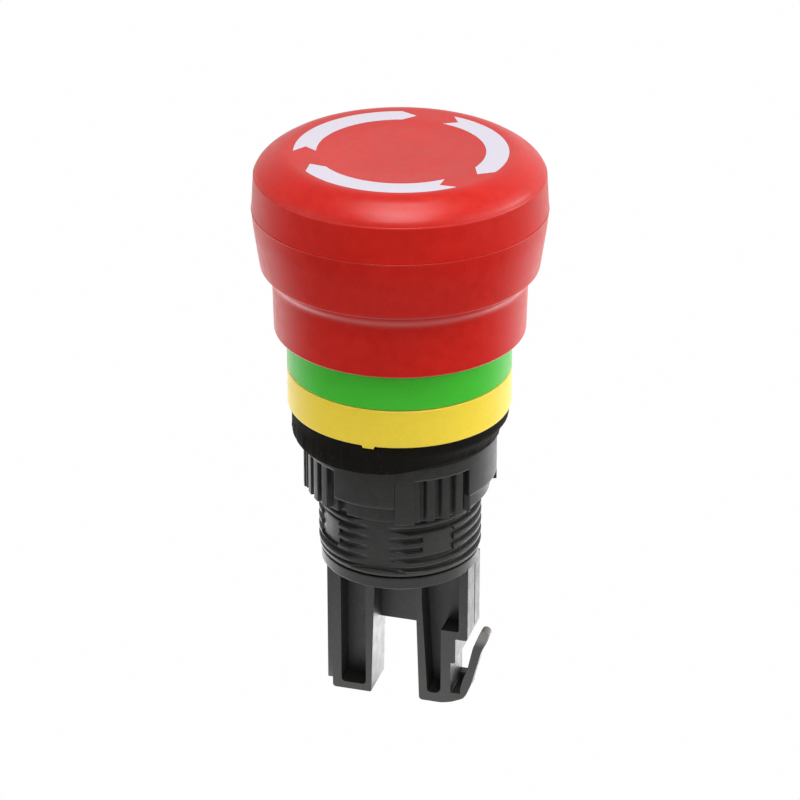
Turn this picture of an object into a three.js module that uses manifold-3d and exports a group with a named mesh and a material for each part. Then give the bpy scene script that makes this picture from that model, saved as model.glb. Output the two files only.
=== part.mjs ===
// Twist-release emergency stop actuator for a 22 mm panel hole.
// Units are millimetres, +Z is up along the button axis, and the origin is the
// bottom centre of the part: on the button axis, level with the ends of the fork
// legs.  -Y is the front of the plug-in fork under the housing; its latch arm is at +X.
// The heights below count from the panel seat, the flat underside of the gasket;
// put() lifts every piece by LIFT on to the origin.

import * as THREE from 'three';
import { mergeVertices } from 'three/addons/utils/BufferGeometryUtils.js';
import Module from 'manifold-3d';

const wasm = await Module();
wasm.setup();

// ---------------------------------------------------------------- dimensions
// Values that are not radii, gaps, angles or half sizes are heights.
const FACETS = 40;                 // round the large turned pieces
const THREAD_FACETS = 20;          // per turn of the thread

const head = {
  top: 39.9, flatRadius: 14.46,    // flat top and its edge
  seam: 32.2, seamRadius: 19.45,   // seam between shell and skirt, the widest place
  ceiling: 38.0, hubBottom: 26.0,  // inside of the shell
  ledge: 24.25, ledgeRadius: 18.4, // underside ledge
  skirtBottom: 15.05, skirtRadius: 16.87, skirtInner: 15.3,
};

// square upper end of the stem, and its socket in the head shell
const square = { half: 2.4, top: 36.3, sideGap: 0.15, endGap: 0.3 };
const STEM_RADIUS = 3.0;

// fixed front: gasket, yellow collar ring, green indicator ring, housing barrel
const front = {
  gasketTop: 4.1, collarTop: 9.5, indicatorTop: 16.3, barrelTop: 20.0,
  ringRadius: 14.9, barrelRadius: 13.4, ringGap: 0.03,
};
const RING_INNER = front.barrelRadius + 0.15;

// nib under the collar ring, in degrees, and its play in the gasket
const nib = { start: -93.0, end: -85.4, angleGap: 1.2 };

// housing tube and its 22 mm thread; flatY is the place of the flats front and back
const tube = { bottom: -17.4, boreRadius: 9.0, flatY: 10.18 };
const thread = { radius: 11.0, rootRadius: 10.3, pitch: 1.5, start: -16.85 };
const COLLAR_RADIUS = 10.95;       // full diameter at both ends of the thread

const washer = { bottom: -0.6, top: -0.05, keyY: 10.34 };

const nut = {
  top: -0.65, bandBottom: -1.9, wallBottom: -5.95, bottom: -8.3,
  radius: 13.0, sleeveRadius: 12.05, blankBore: 10.2,
  gripInner: 11.9, ribRadius: 12.8, slotInner: 11.45,
};

// lugs of the latch carrier and their windows in the housing
const lug = { bottom: -14.75, top: -10.75, gap: 0.25, halfAngle: 11.2, angleGap: 1 };
const LUG_ANGLES = [45, 135, 225, 315];

// sliding pawls and their play in the latch carrier
const pawl = { axis: -12.0, halfWidth: 1.45, halfHeight: 1.0, gap: 0.15 };

// coupling adapter: round flange with a fork of two legs below it
const flange = { radius: 10.65, top: -17.65, bottom: -19.25 };
const LEG_TOP = flange.bottom + 0.5;           // the legs run up into the flange
const FOOT = -40.7;                            // lower ends of the legs
const LIFT = -FOOT;                            // from the panel seat to the origin
const fork = { front: -2.8, back: 3.3, pocketFloor: 0.6 };        // places along Y
const FORK_DEPTH = [fork.front, fork.back];
const ARM_DEPTH = [fork.front, -1.2];          // latch arm, in Y

// ------------------------------------------------------------------ finishes
const RED = { color: 0xc8281e, roughness: 0.38 };
const WHITE = { color: 0xece6f0, roughness: 0.55 };
const GREEN = { color: 0x36aa30, roughness: 0.35 };
const YELLOW = { color: 0xe8d040, roughness: 0.38 };
const BLACK = { color: 0x2e2e2d, roughness: 0.5 };
const MATT_BLACK = { ...BLACK, roughness: 0.55 };
const SEAL_RUBBER = { color: 0x17140f, roughness: 0.8 };
const GASKET_RUBBER = { ...SEAL_RUBBER, roughness: 0.85 };
const NATURAL = { color: 0xdad6c8, roughness: 0.5 };
const STEEL = { color: 0xb4b6b8, roughness: 0.3, metalness: 1 };
const PAWL_STEEL = { ...STEEL, roughness: 0.35 };

// ------------------------------------------------------------------- helpers
const union = (...solids) => solids.reduce((sum, solid) => sum.add(solid));
const cut = (body, ...tools) => tools.reduce((rest, tool) => rest.subtract(tool), body);
const span = (half) => [-half, half];
const polar = (radius, angle) => [radius * Math.cos(angle), radius * Math.sin(angle)];

// a solid and its mirror image across the plane y = 0 or x = 0
const frontAndBack = (solid) => [solid, solid.mirror([0, 1, 0])];
const leftAndRight = (solid) => [solid, solid.mirror([1, 0, 0])];

// Welds a geometry into a manifold solid, with its faces outward.
function toSolid(geometry) {
  geometry.deleteAttribute('normal');
  geometry.deleteAttribute('uv');
  const welded = mergeVertices(geometry, 1e-4);
  const points = welded.attributes.position;
  const index = welded.index.array;
  const corners = [0, 1, 2].map(() => new THREE.Vector3());
  const triangles = [];
  let volume = 0;
  for (let i = 0; i < index.length; i += 3) {
    const [a, b, c] = index.slice(i, i + 3);
    if (a === b || b === c || a === c) continue;
    triangles.push([a, b, c]);
    corners.forEach((corner, j) => corner.fromBufferAttribute(points, index[i + j]));
    volume += corners[0].dot(corners[1].cross(corners[2]));
  }
  if (volume < 0) triangles.forEach((triangle) => triangle.reverse());
  return new wasm.Manifold(new wasm.Mesh({
    numProp: 3,
    vertProperties: new Float32Array(points.array),
    triVerts: new Uint32Array(triangles.flat()),
  }));
}

function toGeometry(solid) {
  const mesh = solid.getMesh();
  const geometry = new THREE.BufferGeometry();
  const positions = new Float32Array(mesh.vertProperties);
  geometry.setAttribute('position', new THREE.BufferAttribute(positions, 3));
  geometry.setIndex(new THREE.BufferAttribute(new Uint32Array(mesh.triVerts), 1));
  geometry.computeVertexNormals();
  return geometry;
}

// Turned piece; the profile is a list of [radius, z], closed on itself or on the axis.
function turn(profile, facets = FACETS) {
  const first = profile[0];
  const last = profile[profile.length - 1];
  const onAxis = first[0] === 0 && last[0] === 0;
  const closed = onAxis ? profile : [...profile, first];
  const points = closed.map(([radius, z]) => new THREE.Vector2(radius, z));
  return toSolid(new THREE.LatheGeometry(points, facets).rotateX(Math.PI / 2));
}

const ring = ([inner, outer], [z0, z1], facets) =>
  turn([[inner, z0], [outer, z0], [outer, z1], [inner, z1]], facets);

// Box between [from, to] on each axis.
function box([x0, x1], [y0, y1], [z0, z1]) {
  const geometry = new THREE.BoxGeometry(x1 - x0, y1 - y0, z1 - z0);
  return toSolid(geometry.translate((x0 + x1) / 2, (y0 + y1) / 2, (z0 + z1) / 2));
}

// Bar bent round the axis; place() turns the fractions along, outward and upward
// into [angle in radians, radius, z].
function bentBar(steps, place) {
  const geometry = new THREE.BoxGeometry(1, 1, 1, steps, 1, 1);
  const points = geometry.attributes.position;
  for (let i = 0; i < points.count; i++) {
    const fractions = [points.getX(i), points.getY(i), points.getZ(i)].map((v) => v + 0.5);
    const [angle, radius, z] = place(...fractions);
    points.setXYZ(i, ...polar(radius, angle), z);
  }
  return toSolid(geometry);
}

// Part of a ring between two angles in degrees (0 = +X, counterclockwise from above).
function sector([r0, r1], [z0, z1], [start, end], steps = 1) {
  return bentBar(steps, (along, outward, upward) => [
    THREE.MathUtils.degToRad(start + (end - start) * along),
    r0 + (r1 - r0) * outward,
    z0 + (z1 - z0) * upward,
  ]);
}

// Thread ridge with a trapezoid section, given by its radii and half-widths.
function threadRidge({ inner, outer, innerHalf, outerHalf, start, turns }) {
  return bentBar(Math.round(turns * THREAD_FACETS), (along, outward, upward) => {
    const half = outward > 0.5 ? outerHalf : innerHalf;
    return [
      2 * Math.PI * turns * along,
      outward > 0.5 ? outer : inner,
      start + thread.pitch * turns * along + (upward > 0.5 ? half : -half),
    ];
  });
}

const shape = (outline) => new THREE.Shape(outline.map(([u, v]) => new THREE.Vector2(u, v)));
const extrude = (outline, depth) =>
  new THREE.ExtrudeGeometry(shape(outline), { depth, bevelEnabled: false });

// Plates: outline in the two named axes, [from, to] along the third.
const plateXY = (outline, [z0, z1]) => toSolid(extrude(outline, z1 - z0).translate(0, 0, z0));
const plateXZ = (outline, [y0, y1]) =>
  toSolid(extrude(outline, y1 - y0).rotateX(Math.PI / 2).translate(0, y1, 0));
const plateYZ = (outline, [x0, x1]) => toSolid(
  extrude(outline, x1 - x0).rotateX(Math.PI / 2).rotateZ(Math.PI / 2).translate(x0, 0, 0));

// Path whose stations follow the parameter itself, not the arc length.
class WirePath extends THREE.Curve {
  constructor(pointAt) {
    super();
    this.pointAt = pointAt;
  }
  getPoint(t, target = new THREE.Vector3()) {
    return target.set(...this.pointAt(t));
  }
  getUtoTmapping(u) {
    return u;
  }
}

// Wire along a path; pointAt(t) gives [x, y, z] for t from 0 to 1.
function wire(pointAt, { radius, steps, sides }) {
  const corners = Array.from({ length: sides }, (_, i) => polar(radius, 2 * Math.PI * i / sides));
  const section = shape(corners);
  section.closePath();
  const extrudePath = new WirePath(pointAt);
  return toSolid(new THREE.ExtrudeGeometry(section, { steps, bevelEnabled: false, extrudePath }));
}

// ---------------------------------------------------------------------- head
const arrow = {
  outer: 13.97, inner: 11.0,       // radii
  centreX: 0.24, centreY: -0.35,   // the ring of arrows sits a little off the axis
  tail: 196.4, notch: 189.4, shoulder: 105.8, tip: 97.2,     // angles in degrees
  depth: 0.3, proud: 0.03, gap: 0.04, arcSteps: 7,
};

// Curved arrow number k of three, pointing clockwise from above, widened by `grow`.
function arrowOutline(k, grow) {
  const outer = arrow.outer + grow;
  const inner = arrow.inner - grow;
  const middle = (outer + inner) / 2;
  const growAngle = THREE.MathUtils.radToDeg(grow / middle);
  const tail = arrow.tail + growAngle;
  const shoulder = arrow.shoulder - growAngle * 0.3;
  const point = (radius, degrees) => {
    const [x, y] = polar(radius, THREE.MathUtils.degToRad(degrees - 120 * k));
    return [arrow.centreX + x, arrow.centreY + y];
  };
  const arc = (radius, from, to) => Array.from({ length: arrow.arcSteps + 1 },
    (_, i) => point(radius, from + (to - from) * i / arrow.arcSteps));
  return [
    ...arc(outer, shoulder, tail),
    point(middle, arrow.notch + growAngle),
    ...arc(inner, tail, shoulder),
    point(middle, arrow.tip - growAngle * 1.3),
  ];
}

const arrowInlay = (k) =>
  plateXY(arrowOutline(k, 0), [head.top - arrow.depth, head.top + arrow.proud]);

function headShell() {
  const shell = turn([
    [0, head.top], [head.flatRadius, head.top], [15.43, 39.78], [16.35, 39.4], [17.53, 38.68],
    [18.62, 37.68], [18.95, 37.2], [19.1, 36.9], [head.seamRadius, head.seam],
    [17.75, head.seam], [17.6, 35.6], [16.9, 37.0], [14.6, head.ceiling],
    [5.3, head.ceiling], [5.2, head.hubBottom], [0, head.hubBottom],
  ]);
  const socketSide = span(square.half + square.sideGap);
  const socket = box(socketSide, socketSide, [head.hubBottom - 0.5, square.top + square.endGap]);
  const pocketHeights = [head.top - arrow.depth - arrow.gap, head.top + 1];
  const pockets = [0, 1, 2].map((k) => plateXY(arrowOutline(k, arrow.gap), pocketHeights));
  return cut(shell, socket, ...pockets);
}

function headSkirt() {
  const { seam, ledge, ledgeRadius, skirtRadius, skirtInner, skirtBottom } = head;
  return turn([
    [19.37, seam - 0.1], [19.1, 29.0], [ledgeRadius + 0.15, ledge + 0.5], [ledgeRadius, ledge],
    [17.65, ledge - 0.1], [17.3, ledge - 0.65], [17.05, ledge - 1.2], [skirtRadius, ledge - 2.1],
    [skirtRadius - 0.15, skirtBottom + 0.4], [skirtRadius - 0.5, skirtBottom],
    [skirtInner + 0.2, skirtBottom], [skirtInner, skirtBottom + 0.4], [skirtInner, 23.4],
    [16.3, 25.2], [16.3, seam + 1.5], [17.5, seam + 1.5], [17.62, seam - 0.1],
  ]);
}

// --------------------------------------------------------- stem and plunger
function stem() {
  const shaftTop = head.hubBottom - 0.1;
  const shaft = turn([
    [0, -1.6], [2.6, -1.6], [STEM_RADIUS, -1.2], [STEM_RADIUS, 9.05], [4.4, 9.05],
    [4.4, 9.9], [STEM_RADIUS, 9.9], [STEM_RADIUS, shaftTop], [0, shaftTop],
  ], 24);
  const end = box(span(square.half), span(square.half), [shaftTop - 0.4, square.top]);
  const clipGroove = ring([2.3, 3.4], [3.9, 4.8], 24);
  return cut(union(shaft, end), clipGroove);
}

// clip under the plunger's top wall that keeps the stem in it, open to the front
const stemClip = () => cut(
  ring([2.42, 4.5], [4.0, 4.6], 24),
  box(span(2.05), [-5, 0], [3.5, 5.2]),
);

function plunger() {
  const body = turn([
    [3.15, 8.9], [8.88, 8.9], [8.88, -1.8], [6.0, -2.4], [6.0, -6.1], [4.7, -6.1], [4.7, -7.3],
    [5.0, -7.5], [3.98, -12.5], [3.1, -12.6], [3.1, -3.0], [5.3, -3.0], [5.3, 5.0], [3.15, 5.0],
  ], 28);
  const keyway = box(span(1.0), [7.7, 9], [-3, 9.5]);
  // window at the back through which the clip is pushed on to the stem
  const clipWindow = box(span(4.8), [0, 9], [3.6, 4.95]);
  const springLegHole = sector([5.0, 6.2], [6.6, 9.5], span(9), 2);
  return cut(body, ...frontAndBack(keyway), clipWindow, springLegHole);
}

// pusher that works the contacts, plugged into the plunger from below
const contactPusher = () => turn([
  [0, -4.2], [2.6, -4.2], [3.0, -4.6], [3.0, -15.3], [3.6, -15.35], [3.6, -16.6],
  [2.9, -16.7], [2.9, -18.6], [2.6, -18.9], [0, -18.9],
], 20);

// ------------------------------------------------------------------- springs
// torsion spring that turns the head back; its straight lower leg drops into the plunger
function torsionSpring() {
  const radius = 5.6;
  const turns = 3;
  const [legBottom, coilBottom, coilTop] = [7.2, 9.75, 14.2];
  const legShare = 0.12;           // part of the path parameter spent on the leg
  return wire((t) => {
    if (t < legShare) return [radius, 0, legBottom + (coilBottom - legBottom) * t / legShare];
    const along = (t - legShare) / (1 - legShare);
    const z = coilBottom + (coilTop - coilBottom) * along;
    return [...polar(radius, 2 * Math.PI * turns * along), z];
  }, { radius: 0.32, steps: 48, sides: 5 });
}

// compression spring between barrel and head, with one closed turn at each end
function returnSpring() {
  const coilRadius = 8.0;
  const wireRadius = 0.5;
  const activeTurns = 4;
  const turns = activeTurns + 2;
  const stepsPerTurn = 12;
  const seatGap = 0.05;
  const low = front.barrelTop + seatGap + wireRadius;
  const high = head.ceiling - seatGap - wireRadius;
  const closedPitch = wireRadius * 2.06;
  const height = (turn) => {
    if (turn <= 1) return low + closedPitch * turn;
    if (turn >= turns - 1) return high - closedPitch * (turns - turn);
    return low + closedPitch + (high - low - 2 * closedPitch) * (turn - 1) / activeTurns;
  };
  return wire(
    (t) => [...polar(coilRadius, 2 * Math.PI * turns * t), height(turns * t)],
    { radius: wireRadius, steps: turns * stepsPerTurn, sides: 5 },
  );
}

// ------------------------------------------------------- seal and guide bush
const SEAL_INNER = STEM_RADIUS + 0.06;
const BUSH_INNER = STEM_RADIUS + 0.1;

const shaftSeal = () => turn([
  [SEAL_INNER, 18.4], [5.4, 18.4], [5.4, 19.9], [4.6, 19.9], [4.2, 19.2], [SEAL_INNER, 19.2],
], 28);

const guideBush = () => turn([
  [BUSH_INNER, 15.6], [4.9, 15.6], [4.9, 16.4], [4.1, 16.4], [4.1, 18.3], [BUSH_INNER, 18.3],
], 28);

// --------------------------------------------------------- rings and gasket
function indicatorRing() {
  const { ringRadius, indicatorTop } = front;
  const bottom = front.collarTop + front.ringGap;
  return turn([
    [RING_INNER, bottom], [ringRadius, bottom], [ringRadius, indicatorTop - 0.4],
    [ringRadius - 0.4, indicatorTop], [RING_INNER, indicatorTop],
  ]);
}

function collarRing() {
  const { ringRadius, gasketTop, ringGap } = front;
  const bottom = gasketTop + ringGap;
  const top = front.collarTop - ringGap;
  const body = turn([
    [RING_INNER, bottom], [ringRadius - 0.15, bottom], [ringRadius, gasketTop + 0.2],
    [ringRadius, top], [RING_INNER, top],
  ]);
  // locating nib that dips into the gasket
  return body.add(sector([ringRadius - 0.9, ringRadius - 0.05],
    [gasketTop - 0.42, gasketTop + 0.6], [nib.start, nib.end]));
}

function panelGasket() {
  const { ringRadius, gasketTop } = front;
  const body = turn([
    [11.2, 0.05], [13.08, 0.05], [13.1, 0], [13.45, 0], [13.6, 0.5], [14.1, 1.8],
    [14.55, 3.3], [14.6, gasketTop], [11.2, gasketTop],
  ]);
  const nibNotch = sector([ringRadius - 1.2, ringRadius + 1], [gasketTop - 0.6, gasketTop + 1],
    [nib.start - nib.angleGap, nib.end + nib.angleGap]);
  return cut(body, nibNotch);
}

// ---------------------------------------------------------- threaded housing
function threadedHousing() {
  const { bottom, boreRadius } = tube;
  const { rootRadius } = thread;
  const { barrelRadius, barrelTop } = front;
  const shoulder = front.gasketTop + 0.05;
  const body = turn([
    [boreRadius, bottom], [rootRadius - 0.2, bottom], [rootRadius, bottom + 0.3],
    [rootRadius, -0.02], [COLLAR_RADIUS, 0.35], [COLLAR_RADIUS, shoulder],
    [barrelRadius, shoulder], [barrelRadius, barrelTop], [5.6, barrelTop], [5.6, 18.35],
    [4.25, 18.35], [4.25, 16.5], [7.0, 16.5], [7.0, 9.0], [boreRadius, 9.0],
  ], THREAD_FACETS);
  const ridge = threadRidge({
    inner: rootRadius - 0.3, outer: thread.radius, innerHalf: 0.52, outerHalf: 0.2,
    start: thread.start, turns: 9.4,
  });
  const endCollar = turn([
    [boreRadius + 0.3, bottom], [10.72, bottom], [COLLAR_RADIUS, bottom + 0.35],
    [COLLAR_RADIUS, bottom + 0.8], [rootRadius - 0.1, bottom + 1.1],
    [boreRadius + 0.3, bottom + 1.1],
  ], THREAD_FACETS);
  const flat = box(span(8), [tube.flatY, 13], [-16.9, 0]);
  const windowHalf = lug.halfAngle + lug.angleGap;
  const lugWindows = LUG_ANGLES.map((angle) => sector([8.3, 11.6],
    [lug.bottom - lug.gap, lug.top + lug.gap], [angle - windowHalf, angle + windowHalf], 2));
  // stops the plunger turning
  const key = box(span(0.8), [7.9, 9.3], [-1.4, 9.3]);
  const threaded = union(body, ridge, endCollar);
  return union(cut(threaded, ...frontAndBack(flat), ...lugWindows), ...frontAndBack(key));
}

// -------------------------------------------------------- washer and ring nut
function lockWasher() {
  const heights = [washer.bottom, washer.top];
  // inner keys on the flats of the thread
  const key = box(span(3.2), [washer.keyY, 11.5], heights);
  return union(ring([11.18, 12.75], heights, 36), ...frontAndBack(key));
}

// [start, end] of the grip ribs in each quarter, in degrees
const NUT_RIBS = [[22.4, 28.2], [32.0, 38.2], [41.6, 47.8], [51.2, 57.2]];

function ringNut() {
  const { gripInner, bottom } = nut;
  const gripTop = nut.bandBottom + 0.2;        // the grip runs up into the band
  const fullHeights = [bottom, gripTop];
  const belowWall = [bottom - 0.5, nut.wallBottom - 0.02];
  const gripRadii = [gripInner, nut.radius];
  let body = union(
    ring([nut.blankBore, nut.radius], [nut.bandBottom, nut.top]),
    ring([nut.blankBore, nut.sleeveRadius], [bottom + 0.1, nut.top]),
  );
  for (let quarter = 0; quarter < 4; quarter++) {
    const at = (start, end) => [90 * quarter - 90 + start, 90 * quarter - 90 + end];
    body = union(
      body,
      sector(gripRadii, [nut.wallBottom, gripTop], at(-26, 13.5), 5),    // short wall
      sector(gripRadii, fullHeights, at(13.4, 25)),                      // full block
      sector([gripInner, 12.3], fullHeights, at(24, 64.4), 5),           // web behind the ribs
      ...NUT_RIBS.map((rib) => sector([gripInner, nut.ribRadius], fullHeights, at(...rib))),
    );
    if (quarter === 1) {
      // towards the latch arm the wall stands on a thin post and is hollow below
      body = body.add(sector(gripRadii, fullHeights, at(-26.6, -25.3)));
      body = cut(body, sector([nut.slotInner, 13.3], belowWall, at(-25.3, 13.3), 5));
    } else {
      // slot under the end of the wall
      body = cut(body, sector([nut.slotInner, 12.8], belowWall, at(-26.1, -19.6)));
    }
  }
  const bore = turn([[0, -9], [10.75, -9], [10.75, 0], [0, 0]], THREAD_FACETS);
  const groove = threadRidge({
    inner: 10.1, outer: 11.24, innerHalf: 0.70, outerHalf: 0.32,
    start: thread.start + 4 * thread.pitch, turns: 8,
  });
  return cut(body, bore, groove);
}

// --------------------------------------------------- latch carrier and pawls
function latchCarrier() {
  const body = turn([
    [7.7, -16.9], [8.85, -16.9], [8.85, -7.6], [6.3, -7.6], [6.3, -10.6], [7.7, -10.9],
  ], 32);
  const lugs = LUG_ANGLES.map((angle) => sector([8.2, 10.6], [lug.bottom, lug.top],
    [angle - lug.halfAngle, angle + lug.halfAngle], 2));
  const pawlGuide = box([6.35, 8.0], span(3.4), [-14.2, -10.6]);
  // passage for both pawls, from side to side
  const passageHalf = pawl.halfHeight + pawl.gap;
  const passage = box(span(9.2), span(pawl.halfWidth + pawl.gap),
    [pawl.axis - passageHalf, pawl.axis + passageHalf]);
  // for the hooks of the coupling adapter
  const hookWindow = box(span(3.1), [7.0, 9.2], [-13.9, -12.2]);
  return cut(union(body, ...lugs, ...leftAndRight(pawlGuide)),
    passage, ...frontAndBack(hookWindow));
}

// side: 1 is right (+X), -1 is left
function latchPawl(side) {
  const { axis, halfWidth, halfHeight } = pawl;
  const body = box([5.15, 7.7], span(halfWidth), [axis - halfHeight, axis + halfHeight]);
  // thin nose that rides over the plunger
  const nose = plateXY([[4.35, 0.6], [5.3, halfWidth], [5.3, -halfWidth], [4.35, -0.6]],
    [-12.2, -11.2]);
  const pocket = new THREE.CylinderGeometry(0.85, 0.85, 2.0, 12);
  pocket.rotateZ(Math.PI / 2).translate(7.05, 0, axis);
  const right = cut(union(body, nose), toSolid(pocket));
  return side > 0 ? right : right.mirror([1, 0, 0]);
}

function pawlSpring(side) {
  const turns = 3.5;
  return wire((t) => {
    const [y, rise] = polar(0.5, 2 * Math.PI * turns * t);
    return [side * (7.25 + 1.4 * t), y, pawl.axis + rise];
  }, { radius: 0.14, steps: 30, sides: 4 });
}

// --------------------------------------------------------- coupling adapter
// outlines of the legs and of the pockets in their fronts, as [x, z]
const RIGHT_LEG = [
  [2.85, LEG_TOP], [10.45, LEG_TOP], [10.45, -30.3], [8.7, -30.3], [8.7, -33.4],
  [8.45, -33.95], [8.05, -34.2], [8.05, -37.0], [8.35, -38.0], [8.9, -38.6],
  [9.3, -38.75], [9.3, -39.9], [8.6, -40.3], [7.6, FOOT], [3.55, FOOT],
];
const LEFT_LEG = [[-8.9, LEG_TOP], [-2.72, LEG_TOP], [-3.37, FOOT], [-8.9, FOOT]];
const POCKET_TOP = flange.bottom - 0.02;
const LEFT_POCKET = [
  [-7.7, POCKET_TOP], [-7.7, -39.1], [-7.4, -39.6], [-4.4, -39.6], [-4.15, -39.1],
  [-4.15, POCKET_TOP],
];
const RIGHT_POCKET = [
  [3.9, POCKET_TOP], [4.65, -38.4], [5.1, -39.2], [6.1, -39.2], [6.65, -38.4],
  [6.65, -29.1], [9.2, -29.1], [9.2, POCKET_TOP],
];
const ARM_ROOT = [[9.2, -38.8], [10.36, -38.8], [10.22, -39.1], [9.72, -39.66], [9.2, -39.95]];

function couplingAdapter() {
  const { radius, top, bottom } = flange;
  const plate = turn([
    [3.9, top], [radius - 0.15, top], [radius, top - 0.15], [radius, bottom], [3.9, bottom],
  ]);
  // snap hook that reaches up into the latch carrier; the barb's outline is [y, z]
  const hook = union(
    box(span(1.8), [6.3, 7.3], [bottom + 0.1, -12.4]),
    plateYZ([[7.2, -12.45], [8.3, -13.3], [8.3, -13.7], [7.2, -13.7]], span(1.7)),
  );
  const body = union(
    plate,
    ...frontAndBack(hook),
    plateXZ(LEFT_LEG, FORK_DEPTH),
    box([-10.35, -8.8], [-0.4, fork.back], [FOOT, LEG_TOP]),   // strip outside the left leg
    plateXZ(RIGHT_LEG, FORK_DEPTH),
    plateXZ(ARM_ROOT, ARM_DEPTH),
    box(span(3.2), [1.2, fork.back], [-30.6, LEG_TOP]),        // web between the legs
  );
  const pocketDepth = [fork.front - 1, fork.pocketFloor];
  const pusherPassage = turn([
    [0, -16], [3.85, -16], [3.85, -21.8], [3.08, -21.95], [3.08, -24.1], [0, -24.1],
  ], 24);
  return cut(body,
    plateXZ(LEFT_POCKET, pocketDepth), plateXZ(RIGHT_POCKET, pocketDepth), pusherPassage);
}

// outline as [x, z]
const latchArm = () => plateXZ([
  [9.55, -38.55], [10.45, -38.55], [10.9, -37.4], [11.64, -34.7], [12.07, -33.04],
  [12.28, -31.73], [12.85, -30.3], [13.1, -29.55], [13.2, -29.05], [13.08, -28.65],
  [12.6, -28.4], [12.25, -28.6], [11.9, -29.42], [11.42, -30.7], [10.76, -33.26],
  [10.39, -34.92], [9.8, -36.8], [9.55, -37.8],
], ARM_DEPTH);

// ------------------------------------------------------------------ assembly
const group = new THREE.Group();
group.name = 'emergency_stop_actuator';

function put(name, solid, finish) {
  const geometry = toGeometry(solid.translate([0, 0, LIFT]));
  const mesh = new THREE.Mesh(geometry, new THREE.MeshStandardMaterial(finish));
  mesh.name = name;
  group.add(mesh);
}

put('head_shell', headShell(), RED);
for (let k = 0; k < 3; k++) put(`arrow_inlay_${k + 1}`, arrowInlay(k), WHITE);
put('head_skirt', headSkirt(), RED);
put('stem', stem(), NATURAL);
put('stem_clip', stemClip(), STEEL);
put('plunger', plunger(), NATURAL);
put('contact_pusher', contactPusher(), MATT_BLACK);
put('torsion_spring', torsionSpring(), STEEL);
put('return_spring', returnSpring(), STEEL);
put('shaft_seal', shaftSeal(), SEAL_RUBBER);
put('guide_bush', guideBush(), NATURAL);
put('indicator_ring', indicatorRing(), GREEN);
put('collar_ring', collarRing(), YELLOW);
put('panel_gasket', panelGasket(), GASKET_RUBBER);
put('threaded_housing', threadedHousing(), BLACK);
put('lock_washer', lockWasher(), BLACK);
put('ring_nut', ringNut(), BLACK);
put('latch_carrier', latchCarrier(), NATURAL);
for (const [name, side] of [['right', 1], ['left', -1]]) {
  put(`latch_pawl_${name}`, latchPawl(side), PAWL_STEEL);
  put(`pawl_spring_${name}`, pawlSpring(side), STEEL);
}
put('coupling_adapter', couplingAdapter(), BLACK);
put('latch_arm', latchArm(), BLACK);

export default group;
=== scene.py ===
# Looks for an emergency stop actuator: detailed meshes and procedural materials
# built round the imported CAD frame.  The actuator stands on the Z axis with the
# red head on top and the fork at the bottom; -Y is its front and +X its right.
# Lengths are millimetres unless a comment says otherwise, heights count from the
# panel seat, and meshes are written in metres.

import math

import bmesh
import bpy
import numpy as np
from mathutils import Matrix, Vector


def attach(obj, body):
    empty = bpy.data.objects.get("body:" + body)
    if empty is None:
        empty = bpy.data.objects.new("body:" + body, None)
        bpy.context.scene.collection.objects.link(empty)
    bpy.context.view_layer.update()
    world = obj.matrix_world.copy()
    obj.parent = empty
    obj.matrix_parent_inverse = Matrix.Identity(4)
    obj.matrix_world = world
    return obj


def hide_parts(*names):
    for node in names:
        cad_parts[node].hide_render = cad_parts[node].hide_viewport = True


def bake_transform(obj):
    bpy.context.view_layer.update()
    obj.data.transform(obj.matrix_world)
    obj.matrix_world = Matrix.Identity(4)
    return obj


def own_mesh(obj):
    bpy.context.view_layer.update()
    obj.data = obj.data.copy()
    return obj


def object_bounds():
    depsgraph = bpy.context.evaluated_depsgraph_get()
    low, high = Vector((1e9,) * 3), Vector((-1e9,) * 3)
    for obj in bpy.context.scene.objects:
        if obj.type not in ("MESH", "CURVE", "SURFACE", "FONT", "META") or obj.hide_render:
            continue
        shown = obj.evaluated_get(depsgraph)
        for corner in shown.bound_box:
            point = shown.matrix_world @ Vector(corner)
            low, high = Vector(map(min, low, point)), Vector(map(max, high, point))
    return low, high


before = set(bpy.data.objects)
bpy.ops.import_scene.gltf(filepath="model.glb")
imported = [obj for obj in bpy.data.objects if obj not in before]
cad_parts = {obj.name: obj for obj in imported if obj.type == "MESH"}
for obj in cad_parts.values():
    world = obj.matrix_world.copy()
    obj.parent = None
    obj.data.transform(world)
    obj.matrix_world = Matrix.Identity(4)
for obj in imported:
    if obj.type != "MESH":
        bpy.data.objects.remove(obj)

MM = 0.001
TAU = 2 * math.pi
CAD_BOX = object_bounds()
Z_FOOT = -40.7                              # feet of the fork
LIFT = CAD_BOX[0][2] * 1000.0 - Z_FOOT      # the CAD frame starts at those feet


# ------------------------------------------------------------ mesh building
def new_mesh(name, verts, faces, smooth=True):
    """Object from vertices in millimetres, with its faces turned outwards."""
    mesh = bpy.data.meshes.new(name)
    mesh.from_pydata([(x * MM, y * MM, (z + LIFT) * MM) for x, y, z in verts], [], faces)
    mesh.update()
    edit = bmesh.new()
    edit.from_mesh(mesh)
    bmesh.ops.recalc_face_normals(edit, faces=edit.faces)
    if edit.calc_volume(signed=True) < 0:
        bmesh.ops.reverse_faces(edit, faces=edit.faces)
    edit.to_mesh(mesh)
    edit.free()
    if smooth:
        mesh.shade_smooth()
    else:
        mesh.shade_flat()
    obj = bpy.data.objects.new(name, mesh)
    bpy.context.scene.collection.objects.link(obj)
    return obj


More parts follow.
